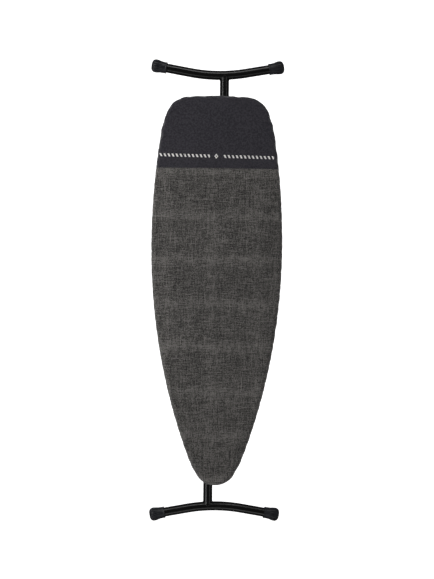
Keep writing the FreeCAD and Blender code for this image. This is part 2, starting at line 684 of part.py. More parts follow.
def legs():
    """Nose leg on the left of the pivot, tail leg on the right."""
    for place, side, foot, bore in (
        ("nose", -1, -1, BAR_R),
        ("tail", 1, 1, f"{BAR_R} + size.running_gap"),
    ):
        leg_tube(f"{place}_leg_tube", side, foot)
        foot_bar(f"{place}_foot_bar", foot)
        foot_cap(f"{place}_foot_cap_left", foot, -1)
        foot_cap(f"{place}_foot_cap_right", foot, 1)
        yoke(f"{place}_yoke", side, foot, bore)
        tube_plug(f"{place}_tube_plug", side, foot)
    crossbar("hinge_crossbar", "size.hinge_reach")
    scissor_pivot()


# ---------------------------------------------------------------- carriage

def carriage():
    """Sliding crossbar, its two shoes and the rings that keep the tail leg in place."""
    crossbar("slide_crossbar", "-size.hinge_reach")
    for word, side in (("left", -1), ("right", 1)):
        block(f"slide_shoe_{word}", side, "-size.hinge_reach", "size.shoe_gap", "size.shoe_length", BAR_R)
    half = f"({TUBE_R} + size.weld_gap + size.yoke_sheet)"
    rings = []
    for side in (-1, 1):
        x = f"size.leg_offset + {side} * ({half} + size.side_gap + size.retainer_width / 2)"
        ring = rod_along(f"ring_{len(rings)}", "x", "size.retainer_radius", "size.retainer_width",
                         (x, "-size.hinge_reach", HEAD_Z))
        hole = rod_along(f"ring_hole_{len(rings)}", "x", BAR_R, "4 * size.retainer_width",
                         (x, "-size.hinge_reach", HEAD_Z))
        rings.append(cut(f"retainer_{len(rings)}", ring, hole))
    group = doc.addObject("Part::Compound", "retainer_group")
    group.Links = rings
    keep("yoke_retainers", group)


# ---------------------------------------------------------------- height lock

def fold_angle(height):
    """Leg angle in radians that brings the ironing surface to a height."""
    along = number(
        "size.hinge_reach + size.foot_reach + size.arch_radius * (1 - cos(size.arch_angle * 1 deg))"
        " + (size.foot_end_length - size.cap_bore_depth + size.cap_length / 2) * sin(size.arch_angle * 1 deg)"
        " + size.bulb_shift")
    across = number("size.head_rise")
    rest = height - number(f"{TOP_Z} - {HEAD_Z} + size.cap_radius")
    return math.asin(rest / math.hypot(along, across)) - math.atan2(across, along)


def carriage_y(angle):
    """Where the sliding crossbar stands at a leg angle."""
    reach, rise = number("size.hinge_reach"), number("size.head_rise")
    return reach - 2 * reach * math.cos(angle) + 2 * rise * math.sin(angle)


def notch_places():
    """Middle of each notch: one for the folded board, then one for each working height."""
    low, high = number("size.lowest_height"), number("size.top_height")
    steps = int(number("size.height_steps"))
    heights = [low + (high - low) * step / (steps - 1) for step in range(steps)]
    stops = [carriage_y(0)] + [carriage_y(fold_angle(height)) for height in heights]
    return [stop - number("size.pawl_reach") for stop in stops]


def height_rack():
    """Notched strip under the panel."""
    high = number(DECK_Z)
    low = high - number("size.rack_depth")
    top = low + number("size.notch_depth")
    half = number("size.notch_width") / 2
    places = notch_places()
    x = number("size.rack_x - size.rack_thickness / 2")
    ends = (places[0] - 1.5 * half, places[-1] + 1.5 * half)
    points = [Vector(x, ends[0], high), Vector(x, ends[0], low)]
    for y in places:
        steps = ((y - half, low), (y - half, top), (y + half, top), (y + half, low))
        points += [Vector(x, *step) for step in steps]
    points += [Vector(x, ends[1], low), Vector(x, ends[1], high)]
    strip = Part.Face(Part.makePolygon(points + points[:1])).extrude(Vector(number("size.rack_thickness"), 0, 0))
    feature("height_rack", strip)


def lock_pawl():
    """Toothed pawl on the sliding crossbar, let down out of the rack."""
    body = body_at("lock_pawl", ("size.rack_x", "-size.hinge_reach", HEAD_Z), (1, 0, 0), "size.pawl_angle")
    arm = sketch_on(body, "YZ_Plane", "pawl_arm")
    tip, heel = "(-size.pawl_reach - size.pawl_tooth / 2)", "(-size.pawl_reach + size.pawl_tooth / 2)"
    half = "size.pawl_arm_half"
    add_polygon(arm, [
        ("0", f"-{half}"), ("0", half), (heel, half), (heel, "size.pawl_height"), (tip, "size.pawl_height"),
        (tip, f"-{half}"),
    ])
    pad(body, arm, "size.pawl_width")
    hub = sketch_on(body, "YZ_Plane", "pawl_hub")
    add_circle(hub, "size.pawl_hub_radius")
    pad(body, hub, "size.pawl_width")
    doc.recompute()
    lug = sketch_on(body, "YZ_Plane", "pawl_lug")
    lug.AttachmentOffset = FreeCAD.Placement(Vector(0, 0, 1), FreeCAD.Rotation())
    bind(lug, "AttachmentOffset.Base.z", "(size.pawl_width + size.pad_width) / 2")
    add_polygon(lug, rectangle("-size.pad_end", f"-{half}", "-size.pad_start", "size.pad_height"))
    pad(body, lug, "size.pad_width")
    doc.recompute()
    bore = sketch_on(body, "YZ_Plane", "pawl_bore")
    add_circle(bore, f"{BAR_R} + size.running_gap")
    pocket(body, bore, "8 * size.pawl_width")


# ---------------------------------------------------------------- release gear

def release_rod():
    """Long rod that turns in clips under the panel."""
    keep("release_rod", rod_along("release_rod", "y", "size.rod_diameter / 2",
                                  "size.rod_tail_end - size.rod_nose_end",
                                  ("size.rod_x", "(size.rod_tail_end + size.rod_nose_end) / 2", ROD_Z)))


def release_blade():
    """Flat strip on the rod that presses the pawl down."""
    x = "size.rod_x - size.rod_diameter / 2 - size.weld_gap - size.blade_width / 2"
    keep("release_blade", box("release_blade",
                              ("size.blade_width", "size.blade_tail_end - size.blade_nose_end",
                               "size.blade_thickness"),
                              (x, "(size.blade_tail_end + size.blade_nose_end) / 2", ROD_Z)))


def lever():
    """Steel arm on the rod's tail end, with a plastic grip."""
    z = f"{ROD_Z} - size.lever_drop"
    plate = box("arm_plate", ("size.lever_length", "size.lever_width", "size.lever_thickness"),
                ("size.rod_x + size.lever_length / 2", "size.lever_y", z))
    post = box("arm_post", ("size.lever_thickness * 2", "size.lever_width", "size.lever_drop"),
               ("size.rod_x", "size.lever_y", f"{ROD_Z} - size.lever_drop / 2"))
    hub = rod_along("arm_hub", "y", "size.lever_hub_radius", "size.lever_width", ("size.rod_x", "size.lever_y", ROD_Z))
    hole = rod_along("arm_hole", "y", "size.rod_diameter / 2", "2 * size.lever_width",
                     ("size.rod_x", "size.lever_y", ROD_Z))
    keep("lever_arm", cut("arm", join("arm_blank", plate, post, hub), hole))
    middle = "size.rod_x + size.lever_length - size.grip_length / 2 + size.lever_thickness"
    body = body_at("lever_grip", (middle, "size.lever_y", z))
    section = sketch_on(body, "XZ_Plane", "grip_section")
    long, high, bevel = "(size.grip_length / 2)", "(size.grip_height / 2)", "(size.grip_height / 4)"
    add_polygon(section, [
        (f"-{long}", f"-{high} + {bevel}"), (f"-{long} + {bevel}", f"-{high}"), (f"{long} - {bevel}", f"-{high}"),
        (long, f"-{high} + {bevel}"), (long, f"{high} - {bevel}"), (f"{long} - {bevel}", high),
        (f"-{long} + {bevel}", high), (f"-{long}", f"{high} - {bevel}"),
    ])
    pad(body, section, "size.grip_width")
    doc.recompute()
    mouth = sketch_on(body, "XZ_Plane", "grip_mouth")
    thick = "(size.lever_thickness / 2 + size.weld_gap)"
    add_polygon(mouth, rectangle(f"-{long} - 1", f"-{thick}", f"{long} - size.lever_thickness + size.weld_gap", thick))
    pocket(body, mouth, "size.lever_width + 2 * size.weld_gap")


def rod_clips():
    """Plastic clips that hold the rod under the panel."""
    clips = []
    for y in CLIP_PLACES:
        name = f"clip_{len(clips)}"
        drop = "(size.rod_drop + size.rod_diameter / 2 + size.clip_floor)"
        block_box = box(name, ("size.clip_width", "size.clip_width", drop),
                        ("size.rod_x", y, f"{DECK_Z} - {drop} / 2"))
        hole = rod_along(name + "_hole", "y", "size.rod_diameter / 2 + size.running_gap", "2 * size.clip_width",
                         ("size.rod_x", y, ROD_Z))
        clips.append(cut(name + "_bored", block_box, hole))
    group = doc.addObject("Part::Compound", "clip_group")
    group.Links = clips
    keep("rod_clips", group)


def return_spring():
    """Coil spring round the rod beside the lever."""
    turns, pitch = number("size.spring_turns"), number("size.spring_pitch")
    wire = number("size.spring_wire") / 2
    radius = number("size.rod_diameter / 2 + size.spring_gap") + wire
    helix = Part.makeHelix(pitch, pitch * turns, radius)
    ring = Part.Wire(Part.Circle(Vector(radius, 0, 0), Vector(0, 1, 0), wire).toShape())
    coil = Part.Wire(helix.Edges).makePipeShell([ring], True, True)
    place = Vector(number("size.rod_x"), number("size.spring_y"), number(ROD_Z))
    feature("return_spring", coil, place, FreeCAD.Rotation(Vector(1, 0, 0), -90))


def check_document():
    """Stops if any object failed or any sub-part isn't sound."""
    doc.recompute()
    failed = [thing.Name for thing in doc.Objects if {"Invalid", "Error"} & set(thing.State)]
    if failed:
        raise RuntimeError(f"failed objects: {failed}")
    for name, thing in NODES.items():
        if thing.Shape.isNull() or not thing.Shape.isValid() or not thing.Shape.Solids:
            raise RuntimeError(f"{name} isn't a sound solid")


def write_steps():
    """Writes each sub-part to its own file."""
    os.makedirs("parts", exist_ok=True)
    for name, thing in NODES.items():
        thing.Shape.exportStep(f"parts/{name}.step")


rim_tube()
mesh_panel()
braces()
pads()
cover()
rail("rail_left", -1)
rail("rail_right", 1)
hinge_bushes()
bush_rivets()
rail_end_plugs()
legs()
carriage()
height_rack()
lock_pawl()
release_rod()
release_blade()
lever()
rod_clips()
return_spring()
check_document()
write_steps()
print(len(NODES), "sub-parts, greatest leg angle", round(math.degrees(fold_angle(number("size.top_height"))), 3))
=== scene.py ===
# Looks of a folding ironing board: fitted cloth cover, felt and foam, expanded-metal deck, tubes and caps.

import math

import bmesh
import bpy
import numpy as np
from mathutils import Matrix, Vector


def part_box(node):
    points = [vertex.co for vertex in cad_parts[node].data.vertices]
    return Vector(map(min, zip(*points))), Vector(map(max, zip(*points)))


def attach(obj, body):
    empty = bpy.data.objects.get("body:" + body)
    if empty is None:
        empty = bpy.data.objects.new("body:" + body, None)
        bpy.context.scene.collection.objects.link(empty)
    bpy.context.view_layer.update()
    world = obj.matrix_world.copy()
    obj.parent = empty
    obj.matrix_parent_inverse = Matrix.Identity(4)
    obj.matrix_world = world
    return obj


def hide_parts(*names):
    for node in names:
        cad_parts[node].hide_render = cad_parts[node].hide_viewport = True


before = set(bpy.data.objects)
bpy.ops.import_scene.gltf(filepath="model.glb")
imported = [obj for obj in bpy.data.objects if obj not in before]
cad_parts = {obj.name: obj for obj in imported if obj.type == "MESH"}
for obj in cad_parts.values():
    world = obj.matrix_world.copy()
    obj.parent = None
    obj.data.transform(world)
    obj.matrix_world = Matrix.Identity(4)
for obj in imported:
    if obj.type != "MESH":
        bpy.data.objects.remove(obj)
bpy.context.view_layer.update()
MM = 0.001

# plan of the deck's edge, as in the steel
LENGTH, WIDTH, NOSE_TO_WIDEST = 1350, 450, 830.25
NOSE_RADIUS, CORNER_RADIUS, CROWN_RADIUS, CROWN_HALF = 72, 84.6, 1440, 102.15
NOSE_FLANK, NOSE_SHOULDER, TAIL_FLANK, TAIL_SHOULDER = 20.2, 32, 8.5, 20.5

# heights of the layers, from the steel
DECK_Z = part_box("mesh_panel")[0].z / MM
FELT_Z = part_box("felt_pad")[0].z / MM
FOAM_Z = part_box("foam_pad")[0].z / MM
TOP_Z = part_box("cover_denim")[1].z / MM
SEAM_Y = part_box("cover_heat_zone")[0].y / MM

# cloth cover: slope of the cross seam, radius of the rolled edge, thickness, heights of its lower edge
SEAM_TILT = -0.0005
ROLL = 15
CLOTH = 0.8
LIP_TOP_Z, HEM_Z, HEM_STITCH_Z = 52, 50.9, 50.15
DENIM_CUT, HEAT_CUT, CUT_FILL = (0.543, 1.147), (0.543, 0.297), 0.82

# cloth simulation
SETTLE_FRAMES, SETTLE_CAP = 16, 1.0

# folded feet, as in the steel
ARCH_RADIUS, ARCH_ANGLE, FOOT_REACH = 560, 10, 757
TAIL_FOOT_END, NOSE_FOOT_END, CAP_BORE = 128.4, 122.4, 44.3
LEG_X, LEG_Z, TUBE_R = 23.5, 23, 16

# where the feet stand with the legs fully open
FLOOR_Z, FLOOR_REACH = -0.905, 40


# ---------------------------------------------------------------- shader arithmetic

class Value:
    """A number that changes over a surface; operators on it add Math nodes."""

    def __init__(self, tree, socket):
        self.tree = tree
        self.socket = socket

    def math(self, operation, *others):
        """This value and others through one Math node."""
        return self.tree.node("ShaderNodeMath", {"operation": operation}, [self, *others])

    def __add__(self, other):
        return self.math("ADD", other)

    __radd__ = __add__

    def __sub__(self, other):
        return self.math("SUBTRACT", other)

    def __rsub__(self, other):
        return self.tree.node("ShaderNodeMath", {"operation": "SUBTRACT"}, [other, self])

    def __mul__(self, other):
        return self.math("MULTIPLY", other)

    __rmul__ = __mul__

    def __truediv__(self, other):
        return self.math("DIVIDE", other)

    def __pow__(self, other):
        return self.math("POWER", other)

    def __abs__(self):
        return self.math("ABSOLUTE")

    def below(self, other):
        """1 where this is less than other."""
        return self.math("LESS_THAN", other)

    def above(self, other):
        """1 where this is more than other."""
        return self.math("GREATER_THAN", other)

    def fract(self):
        """The part after the decimal point."""
        return self.math("FRACT")

    def sine(self):
        """Sine of the value."""
        return self.math("SINE")

    def ramp(self, low, high, first=0.0, last=1.0):
        """Smooth step from first to last as the value goes from low to high."""
        settings = {"interpolation_type": "SMOOTHSTEP"}
        return self.tree.node("ShaderNodeMapRange", settings, [self, low, high, first, last])


class Finish:
    """One material's node tree."""

    def __init__(self, name):
        self.material = bpy.data.materials.new(name)
        self.material.use_nodes = True
        self.nodes = self.material.node_tree.nodes
        self.links = self.material.node_tree.links
        self.nodes.clear()
        self.place = self.node("ShaderNodeTexCoord", {}, [], "Object")
        parts = self.node("ShaderNodeSeparateXYZ", {}, [self.place], "X").socket.node.outputs
        self.x, self.y, self.z = (Value(self, parts[axis]) for axis in "XYZ")

    def node(self, kind, settings, values, output=0):
        """Adds a node, sets it up, fills its sockets in order or by name, and gives one output."""
        made = self.nodes.new(kind)
        for key, value in settings.items():
            if key == "stops":
                self.set_stops(made.color_ramp, value)
            else:
                setattr(made, key, value)
        pairs = values.items() if isinstance(values, dict) else enumerate(values)
        for key, value in pairs:
            if value is None:
                continue
            if isinstance(value, Value):
                self.links.new(value.socket, made.inputs[key])
            else:
                made.inputs[key].default_value = value
        return Value(self, made.outputs[output])

    def set_stops(self, ramp, stops):
        """Colours along a ramp."""
        while len(ramp.elements) < len(stops):
            ramp.elements.new(0.5)
        for element, (place, colour) in zip(ramp.elements, stops):
            element.position = place
            element.color = (*colour, 1)

    def stretched(self, scale):
        """Object coordinates scaled unequally along the three axes."""
        return self.node("ShaderNodeMapping", {}, {"Vector": self.place, "Scale": scale})

    def noise(self, scale, detail=2.0, rough=0.5, stretch=None):
        """Soft random pattern from 0 to 1."""
        where = self.place if stretch is None else self.stretched(stretch)
        values = {"Vector": where, "Scale": scale, "Detail": detail, "Roughness": rough}
        return self.node("ShaderNodeTexNoise", {}, values, 0)

    def mix(self, factor, first, second):
        """Colour between two colours."""
        made = self.nodes.new("ShaderNodeMix")
        made.data_type = "RGBA"
        for socket, value in ((made.inputs[0], factor), (made.inputs[6], first), (made.inputs[7], second)):
            if isinstance(value, Value):
                self.links.new(value.socket, socket)
            elif isinstance(value, tuple):
                socket.default_value = (*value, 1)
            else:
                socket.default_value = value
        return Value(self, made.outputs[2])

    def bump(self, height, distance, strength=1.0, before=None):
        """Surface relief from a height in 0 to 1, in metres of distance."""
        return self.node("ShaderNodeBump", {}, {
            "Height": height, "Distance": distance, "Strength": strength, "Normal": before})

    def done(self, colour, rough, metal=0.0, normal=None, **fixed):
        """Closes the tree with the main shader."""
        shader = self.nodes.new("ShaderNodeBsdfPrincipled")
        wanted = {"Base Color": colour, "Roughness": rough, "Metallic": metal, "Normal": normal}
        for key, value in wanted.items():
            if isinstance(value, Value):
                self.links.new(value.socket, shader.inputs[key])
            elif isinstance(value, tuple):
                shader.inputs[key].default_value = (*value, 1)
            elif value is not None:
                shader.inputs[key].default_value = value
        for key, value in fixed.items():
            shader.inputs[key.replace("_", " ").title().replace("Ior", "IOR")].default_value = value
        out = self.nodes.new("ShaderNodeOutputMaterial")
        self.links.new(shader.outputs[0], out.inputs[0])
        return self.material


def grey(level, warm=0.0):
    """A near-grey in linear light from its eight-bit screen level; warm tilts it from blue to brown."""
    tone = (level / 255) ** 2.2
    return (tone * (1 + warm), tone, tone * (1 - warm))


# ---------------------------------------------------------------- finishes

def yarns(finish, pitch):
    """Height of plain-woven yarns running both ways, from 0 to 1."""
    turns = 2 * math.pi / (pitch * MM)
    across = (finish.x * turns).sine()
    along = (finish.y * turns).sine()
    weave = across * along
    return weave * 0.35 + (abs(across) + abs(along)) * 0.25 + 0.15


def denim_cloth():
    """Dark grey cotton with lighter slub yarns both ways, in faint bands."""
    f = Finish("denim_cloth")
    weave = yarns(f, 1.1)
    grain = f.noise(520, 2, 0.6)
    speck = f.noise(230, 3, 0.8)
    weft = f.noise(1, 3, 0.75, (34, 420, 60))
    warp = f.noise(1, 3, 0.75, (420, 30, 60))
    weft_slub = f.noise(1, 1, 0.5, (16, 300, 40)).ramp(0.60, 0.72)
    warp_slub = f.noise(1, 1, 0.5, (300, 14, 40)).ramp(0.62, 0.74)
    cross = abs(((f.y / 0.153 + 0.30).fract() - 0.5) * 2).ramp(0.60, 1.0)
    column = abs(((f.x / 0.160 + 0.12).fract() - 0.5) * 2).ramp(0.6, 1.0)
    cloud = f.noise(9, 3, 0.6)
    level = (weft - 0.5) * 1.2 + (warp - 0.5) * 1.2 + (speck - 0.5) * 2.0 + (grain - 0.5) * 0.9
    level = level + weft_slub * 0.26 + warp_slub * 0.22 + (weave - 0.45) * 0.25
    level = level + cross * 0.12 + column * 0.06 + (cloud - 0.5) * 0.22 + 0.385
    colour = f.mix(level.ramp(0.0, 1.05), grey(30, 0.03), grey(120, 0.055))
    height = weave * 0.5 + weft * 0.25 + warp * 0.25 + grain * 0.2
    normal = f.bump(height, 0.0006, 0.75)
    return f.done(colour, 0.92, normal=normal, specular_ior_level=0.18,
                  sheen_weight=0.22, sheen_roughness=0.5)


def woven_marks(f):
    """A row of slanted woven dashes with a lozenge at every repeat: 1 on the light yarn."""
    line = f.y - 0.4662 + f.x * 0.0150
    place = ((f.x + 0.117) / 0.223).fract() * 0.223
    dash = ((place + line * 0.45) / (0.223 / 16)).fract()
    inside = abs(place - 0.1117).above(0.0225)
    edge_stop = inside * abs(place - 0.1117).below(0.111)
    dashes = dash.below(0.42) * edge_stop * abs(line).below(0.0052)
    lozenge = (abs(place - 0.1117) / 0.0068 + abs(line) / 0.0088).below(1.0)
    hole = (abs(place - 0.1117) / 0.0026 + abs(line) / 0.0034).below(1.0)
    return (dashes + lozenge * (1.0 - hole)).math("MINIMUM", 1.0)


def heat_cloth():
    """Smooth charcoal twill with a row of woven dashes beside the seam."""
    f = Finish("heat_cloth")
    turns = 2 * math.pi / (1.0 * MM)
    twill = ((f.x + f.y) * turns).sine() * 0.5 + 0.5
    fine = f.noise(500, 2, 0.6)
    speck = f.noise(170, 2, 0.6)
    cloud = f.noise(7, 2, 0.5)
    level = (speck - 0.5) * 2.4 + (fine - 0.5) * 0.7 + (cloud - 0.5) * 0.5 + twill * 0.15 + 0.42
    ground = f.mix(level.ramp(0, 1), (0.0215, 0.0200, 0.0262), (0.0420, 0.0395, 0.0480))
    marks = woven_marks(f)
    thread = f.mix(fine, grey(212, 0.03), grey(250, 0.02))
    colour = f.mix(marks, ground, thread)
    normal = f.bump(twill * 0.5 + fine * 0.3 + marks * 0.6, 0.0005, 0.6)
    return f.done(colour, 0.88, normal=normal, specular_ior_level=0.2,
                  sheen_weight=0.30, sheen_roughness=0.45)


def hem_cloth():
    """Gathered dark binding over the elastic."""
    f = Finish("hem_cloth")
    weave = yarns(f, 0.9)
    speck = f.noise(220, 2, 0.6)
    colour = f.mix(speck.ramp(0.3, 0.8), grey(34), grey(62))
    return f.done(colour, 0.9, normal=f.bump(weave, 0.0004, 0.7), sheen_weight=0.3)


def stitch_thread():
    """Matt sewing thread."""
    f = Finish("stitch_thread")
    ply = ((f.x + f.y * 0.8 + f.z) * (2 * math.pi / 0.0006)).sine() * 0.5 + 0.5
    colour = f.mix(ply, grey(52), grey(84))
    return f.done(colour, 0.7, normal=f.bump(ply, 0.0001, 0.6), sheen_weight=0.3)


def felt_cloth():
    """Pressed felt, flecked grey and cream fibres."""
    f = Finish("felt_cloth")
    fibre = f.noise(260, 4, 0.7)
    fleck = f.noise(90, 3, 0.7)
    tint = f.node("ShaderNodeTexVoronoi", {}, {"Vector": f.place, "Scale": 150.0}, "Color")
    warm = f.mix(fleck.ramp(0.35, 0.7), grey(128, 0.05), grey(196, 0.06))
    colour = f.mix(0.12, warm, tint)
    return f.done(colour, 0.97, normal=f.bump(fibre, 0.001, 0.8), sheen_weight=0.4)


def foam_sheet():
    """Open-cell foam."""
    f = Finish("foam_sheet")
    cells = f.node("ShaderNodeTexVoronoi", {}, {"Vector": f.place, "Scale": 700.0}, "Distance")
    colour = f.mix(cells.ramp(0.1, 0.6), grey(150, 0.08), grey(214, 0.10))
    return f.done(colour, 0.95, normal=f.bump(cells, 0.0006, 0.7))


def powder_coat(name, low, high, rough):
    """Black powder coat: fine orange peel, slight wear and dust."""
    f = Finish(name)
    peel = f.noise(900, 2, 0.55)
    wave = f.noise(120, 2, 0.5)
    dust = f.noise(14, 4, 0.65)
    colour = f.mix(dust.ramp(0.45, 0.8), grey(low), grey(high))
    roughness = dust.ramp(0.35, 0.75, rough, rough + 0.10) + (peel - 0.5) * 0.05
    normal = f.bump(peel * 0.6 + wave * 0.4, 0.00012, 0.5)
    return f.done(colour, roughness, normal=normal, specular_ior_level=0.42)


def cap_rubber():
    """Matt moulded rubber with a dusty bloom."""
    f = Finish("cap_rubber")
    grain = f.noise(1400, 3, 0.6)
    bloom = f.noise(55, 4, 0.65)
    colour = f.mix(bloom.ramp(0.3, 0.8), (0.0030, 0.0034, 0.0056), (0.0082, 0.0092, 0.0138))
    roughness = bloom.ramp(0.3, 0.8, 0.38, 0.56)
    return f.done(colour, roughness, normal=f.bump(grain, 0.00012, 0.6), specular_ior_level=0.42)


def zinc_plate():
    """Zinc-plated steel with drawn lines and dull patches."""
    f = Finish("zinc_plate")
    drawn = f.noise(1, 2, 0.6, (60, 2400, 2400))
    patch = f.noise(40, 4, 0.7)
    colour = f.mix(patch.ramp(0.3, 0.75), grey(150, -0.02), grey(196, 0.0))
    roughness = patch.ramp(0.3, 0.8, 0.26, 0.44) + (drawn - 0.5) * 0.12
    return f.done(colour, roughness, 1.0, f.bump(drawn, 0.00006, 0.5))


def moulded_plastic():
    """Black moulded plastic with a fine spark texture."""
    f = Finish("moulded_plastic")
    spark = f.noise(1800, 2, 0.6)
    scuff = f.noise(75, 4, 0.7)
    colour = f.mix(scuff.ramp(0.5, 0.85), grey(26), grey(52))
    roughness = scuff.ramp(0.3, 0.8, 0.42, 0.62)
    return f.done(colour, roughness, normal=f.bump(spark, 0.00008, 0.6))


FINISHES = {
    "denim": denim_cloth(),
    "heat": heat_cloth(),
    "hem": hem_cloth(),
    "thread": stitch_thread(),
    "felt": felt_cloth(),
    "foam": foam_sheet(),
    "tube": powder_coat("black_powder_coat", 5, 10, 0.20),
    "deck": powder_coat("deck_paint", 30, 46, 0.38),
    "rubber": cap_rubber(),
    "zinc": zinc_plate(),
    "plastic": moulded_plastic(),
}

CARRIED = {
    "tube": ["nose_leg_tube", "tail_leg_tube", "nose_foot_bar", "tail_foot_bar", "nose_yoke", "tail_yoke"],
    "deck": ["rim_tube", "rail_left", "rail_right", "cross_brace_nose", "cross_brace_middle",
             "cross_brace_hinge", "cross_brace_tail", "outrigger_left", "outrigger_right",
             "height_rack", "release_blade"],
    "zinc": ["hinge_crossbar", "slide_crossbar", "release_rod", "lock_pawl", "bush_rivets",
             "yoke_retainers", "return_spring", "lever_arm", "pivot_bolt", "pivot_nut"],
    "plastic": ["hinge_bush_left", "hinge_bush_right", "slide_shoe_left", "slide_shoe_right",
                "rail_end_plugs", "rod_clips", "pivot_spacer", "pivot_bush", "nose_tube_plug",
                "tail_tube_plug", "lever_grip"],
}


def dress_carried_nodes():
    """Gives every steel or plastic node its finish."""
    for finish, names in CARRIED.items():
        for name in names:
            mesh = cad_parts[name].data
            mesh.materials.clear()
            mesh.materials.append(FINISHES[finish])


# ---------------------------------------------------------------- plan of the deck

def outward(angle):
    """Unit vector in plan."""
    return np.array([math.cos(math.radians(angle)), math.sin(math.radians(angle))])


def flank_radii(first, second, across, along):
    """Radii of two tangent arcs that together reach a width and a length."""
    one, two = math.radians(first), math.radians(second)
    across_row = [1 - math.cos(one), math.cos(one) - math.cos(two)]
    along_row = [math.sin(one), math.sin(two) - math.sin(one)]
    return np.linalg.solve([across_row, along_row], [across, along])


def plan_arcs():
    """Tangent arcs of the deck's edge, anticlockwise: (centre, radius, first and last angle)."""
    tail_corner = math.degrees(math.acos(CROWN_HALF / CROWN_RADIUS))
    nose, shoulder, crown = outward(NOSE_SHOULDER), outward(TAIL_SHOULDER), outward(tail_corner)
    half = WIDTH / 2
    to_tail = LENGTH - NOSE_TO_WIDEST
    r1, r2 = flank_radii(NOSE_FLANK, NOSE_SHOULDER, half - NOSE_RADIUS * nose[0],
                         NOSE_TO_WIDEST - NOSE_RADIUS * (1 - nose[1]))
    r3, r4 = flank_radii(
        TAIL_FLANK, TAIL_SHOULDER,
        half - CORNER_RADIUS * (shoulder[0] - crown[0]) - CROWN_RADIUS * crown[0],
        to_tail - CORNER_RADIUS * (crown[1] - shoulder[1]) - CROWN_RADIUS * (1 - crown[1]))
    radii = [NOSE_RADIUS, r2, r1, r3, r4, CORNER_RADIUS, CROWN_RADIUS]
    angles = [-90, -NOSE_SHOULDER, -NOSE_FLANK, 0, TAIL_FLANK, TAIL_SHOULDER, tail_corner, 90]
    centre = np.array([0, NOSE_RADIUS - LENGTH / 2])
    right = []
    for index, radius in enumerate(radii):
        if index:
            centre = centre + outward(angles[index]) * (radii[index - 1] - radius)
        right.append((centre, radius, angles[index], angles[index + 1]))
    left = [(c * (-1, 1), r, 180 - last, 180 - first) for c, r, first, last in reversed(right)]
    return right + left


def plan_samples(spacing):
    """Points round the edge about evenly apart: (centre, radius, outward normal) arrays."""
    centres, radii, normals = [], [], []
    for centre, radius, first, last in plan_arcs():
        count = max(2, round(radius * math.radians(last - first) / spacing))
        for step in range(count):
            centres.append(centre)
            radii.append(radius)
            normals.append(outward(first + (last - first) * step / count))
    return np.array(centres), np.array(radii), np.array(normals)


EDGE = plan_samples(4.5)
EDGE_COUNT = len(EDGE[1])
EDGE_POINTS = EDGE[0] + EDGE[2] * EDGE[1][:, None]
EDGE_LENGTH = np.concatenate([[0], np.cumsum(np.linalg.norm(np.diff(EDGE_POINTS, axis=0), axis=1))])
EDGE_TOTAL = EDGE_LENGTH[-1] + np.linalg.norm(EDGE_POINTS[0] - EDGE_POINTS[-1])


def edge_ring(grow, height):
    """The edge moved outwards by grow, at a height; both may vary round it."""
    grow = np.broadcast_to(grow, EDGE_COUNT)
    height = np.broadcast_to(height, EDGE_COUNT)
    plan = EDGE[0] + EDGE[2] * (EDGE[1] + grow)[:, None]
    return np.column_stack([plan, height])


def ripple(count, seed, sharp=1.0):
    """Smooth random waves round the edge, from about -1 to 1, with count waves in all."""
    rng = np.random.default_rng(seed)
    turn = EDGE_LENGTH / EDGE_TOTAL * 2 * math.pi
    total = np.zeros(EDGE_COUNT)
    for index in range(9):
        waves = round(count * (0.6 + 0.1 * index))
        total += np.sin(turn * waves + rng.uniform(0, 2 * math.pi)) * rng.uniform(0.5, 1)
    total /= 3.2
    return np.sign(total) * np.abs(total) ** sharp


# ---------------------------------------------------------------- mesh helpers

def plain_mesh(name, points, faces, merge=0.0):
    """A mesh from points in millimetres, with its normals outwards."""
    mesh = bpy.data.meshes.new(name)
    mesh.from_pydata([tuple(p) for p in np.asarray(points) * MM], [], faces)
    work = bmesh.new()
    work.from_mesh(mesh)
    if merge:
        bmesh.ops.remove_doubles(work, verts=work.verts, dist=merge * MM)
    bmesh.ops.recalc_face_normals(work, faces=work.faces)
    work.to_mesh(mesh)
    work.free()
    return mesh


def place_piece(name, mesh, finish, body, smooth=True):
    """Puts a mesh in the scene as a piece on a body."""
    mesh.polygons.foreach_set("use_smooth", [smooth] * len(mesh.polygons))
    piece = bpy.data.objects.new(name, mesh)
    bpy.context.scene.collection.objects.link(piece)
    piece.data.materials.append(FINISHES[finish])
    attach(piece, body)
    return piece


def make_piece(name, points, faces, finish, body, smooth=True, merge=0.0):
    """A mesh piece in place on a body; points are in millimetres."""
    return place_piece(name, plain_mesh(name, points, faces, merge), finish, body, smooth)


def ring_faces(rings, count, closed_across=False):
    """Quads between successive closed rings of equal count."""
    faces = []
    spans = rings if closed_across else rings - 1
    for ring in range(spans):
        low, high = ring * count, ((ring + 1) % rings) * count
        for index in range(count):
            after = (index + 1) % count
            faces.append((low + index, low + after, high + after, high + index))
    return faces


def bake_modifiers(piece):
    """Applies what modifiers the piece has and leaves a plain mesh."""
    shown = piece.evaluated_get(bpy.context.evaluated_depsgraph_get())
    mesh = bpy.data.meshes.new_from_object(shown)
    piece.modifiers.clear()
    piece.data = mesh


def thicken(piece, thickness):
    """Gives a sheet its thickness inwards."""
    wall = piece.modifiers.new("wall", "SOLIDIFY")
    wall.thickness = thickness * MM
    wall.offset = -1
    bake_modifiers(piece)


# ---------------------------------------------------------------- soft covering

def spine_point(points):
    """For each edge point, the nearest place on the deck's long axis."""
    low, high = NOSE_RADIUS - LENGTH / 2, LENGTH / 2 - 150
    return np.column_stack([np.zeros(len(points)), np.clip(points[:, 1], low, high)])


